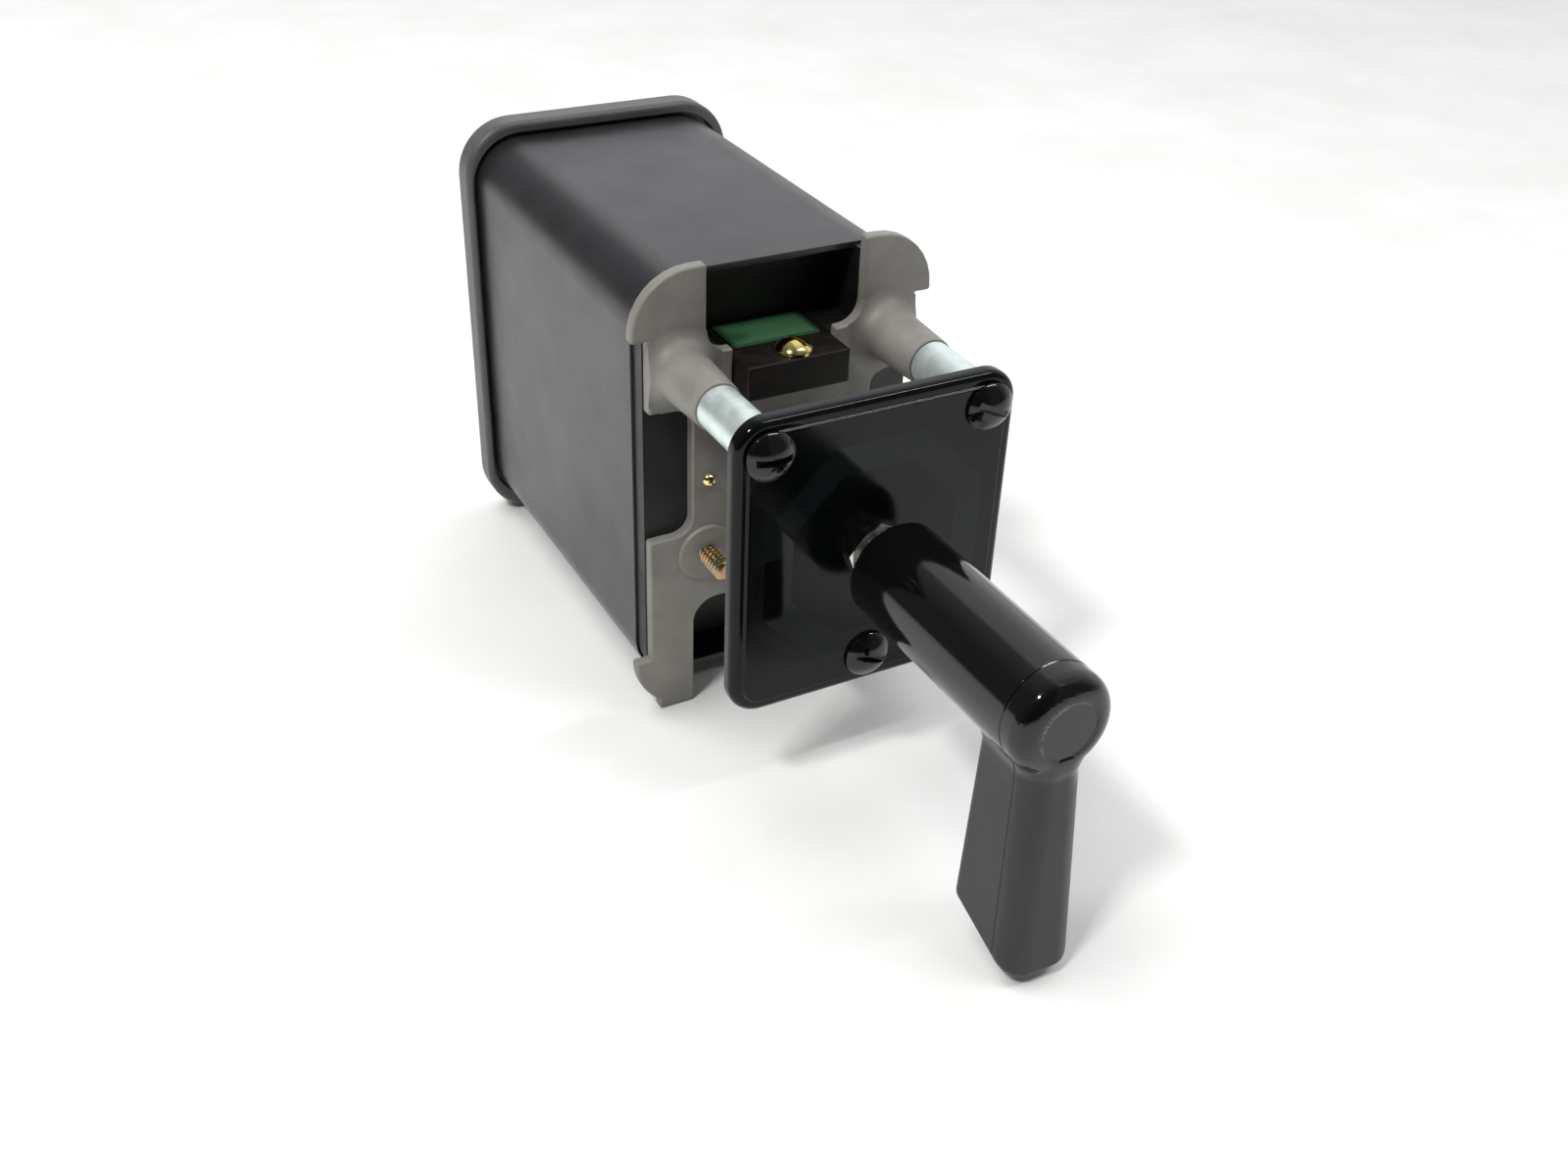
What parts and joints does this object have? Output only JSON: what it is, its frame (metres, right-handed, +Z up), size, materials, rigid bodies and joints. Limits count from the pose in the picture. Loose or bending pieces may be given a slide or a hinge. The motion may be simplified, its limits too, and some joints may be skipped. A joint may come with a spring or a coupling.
{
  "type": "rotary isolator switch",
  "caption": "Panel-mounted rotary isolator switch: pistol-grip handle, square front plate, die-cast support with ears, and a stack of contact stages under a black cover.",
  "frame": {"origin": "on the shaft axis, at the back face of the front plate, which is the front face of the panel", "axes": "+X to the right seen from the front, +Y along the shaft into the panel, +Z up; the grip hangs down at rest"},
  "size_m": [0.0638, 0.194, 0.097],
  "materials": {
    "gloss_black": "high gloss moulded thermoset",
    "gloss_black_handle": "gloss on the tube, satin on the grip",
    "black_screw": "black oxide, oiled",
    "zinc_plated": "bright zinc plate over turned steel",
    "nickel_plated": "nickel plate",
    "die_cast_zinc": "matt as-cast zinc alloy",
    "bronze": "sintered bronze",
    "brass": "machined",
    "black_phenolic": "moulded phenolic",
    "brown_phenolic": "moulded phenolic",
    "steel": "machined",
    "spring_steel": "tempered strip",
    "green_label": "printed label, blank",
    "yellow_zinc": "yellow chromate over zinc",
    "black_enamel": "semi-gloss black",
    "black_moulding": "satin moulded",
    "cam_nylon": "natural nylon"
  },
  "bodies": {
    "housing": {"front_plate": "gloss_black", "mounting_screws": "black_screw", "spacer_sleeves": "zinc_plated", "plate_collar": "nickel_plated", "front_support": "die_cast_zinc", "support_bush": "bronze", "detent_housing_screws": "brass", "detent_housing": "black_phenolic", "stop_pins": "steel", "detent_spring_left": "spring_steel", "detent_spring_right": "spring_steel", "terminal_block": "brown_phenolic", "terminal_block_screw": "brass", "terminal_label": "green_label", "contact_springs_left": "spring_steel", "contact_springs_right": "spring_steel", "terminal_screws": "brass", "rear_barrier": "black_phenolic", "rear_plate": "steel", "rear_bush": "bronze", "tie_rods": "yellow_zinc", "tie_rod_washers": "zinc_plated", "tie_rod_nuts": "zinc_plated", "cap_pillars": "steel", "cap_screws": "black_screw", "cover": "black_enamel", "rear_cap": "black_moulding", "stage_block_1": "black_phenolic", "fixed_contacts_1": "brass", "stage_block_2": "black_phenolic", "fixed_contacts_2": "brass", "stage_block_3": "black_phenolic", "fixed_contacts_3": "brass", "stage_block_4": "black_phenolic", "fixed_contacts_4": "brass"},
    "rotor": {"operating_shaft": "steel", "retaining_ring": "spring_steel", "handle_body": "gloss_black_handle", "handle_front": "gloss_black_handle", "handle_screw": "steel", "stop_arm": "steel", "detent_wheel": "steel", "cam_1": "cam_nylon", "cam_2": "cam_nylon", "cam_3": "cam_nylon", "cam_4": "cam_nylon"},
    "left_contacts": {"contact_carrier_left_1": "cam_nylon", "contact_carrier_left_2": "cam_nylon", "contact_carrier_left_3": "cam_nylon", "contact_carrier_left_4": "cam_nylon", "moving_contacts_left": "brass"},
    "right_contacts": {"contact_carrier_right_1": "cam_nylon", "contact_carrier_right_2": "cam_nylon", "contact_carrier_right_3": "cam_nylon", "contact_carrier_right_4": "cam_nylon", "moving_contacts_right": "brass"}
  },
  "joints": [
    {"name": "handle_turn", "type": "hinge", "parent": "housing", "child": "rotor", "pos_m": [0, 0, 0], "axis": [0, 1, 0], "range_deg": [-45, 45], "deforming": ["detent_spring_left", "detent_spring_right"]},
    {"name": "left_contacts_slide", "type": "slide", "parent": "housing", "child": "left_contacts", "axis": [1, 0, 0], "range_m": [-0.0015, 0.0015], "deforming": ["contact_springs_left"]},
    {"name": "right_contacts_slide", "type": "slide", "parent": "housing", "child": "right_contacts", "axis": [1, 0, 0], "range_m": [-0.0015, 0.0015], "deforming": ["contact_springs_right"]}
  ],
  "couplings": [
    {"joint": "left_contacts_slide", "follows": "handle_turn", "m_per_rad": -0.0019099},
    {"joint": "right_contacts_slide", "follows": "handle_turn", "m_per_rad": -0.0019099}
  ]
}
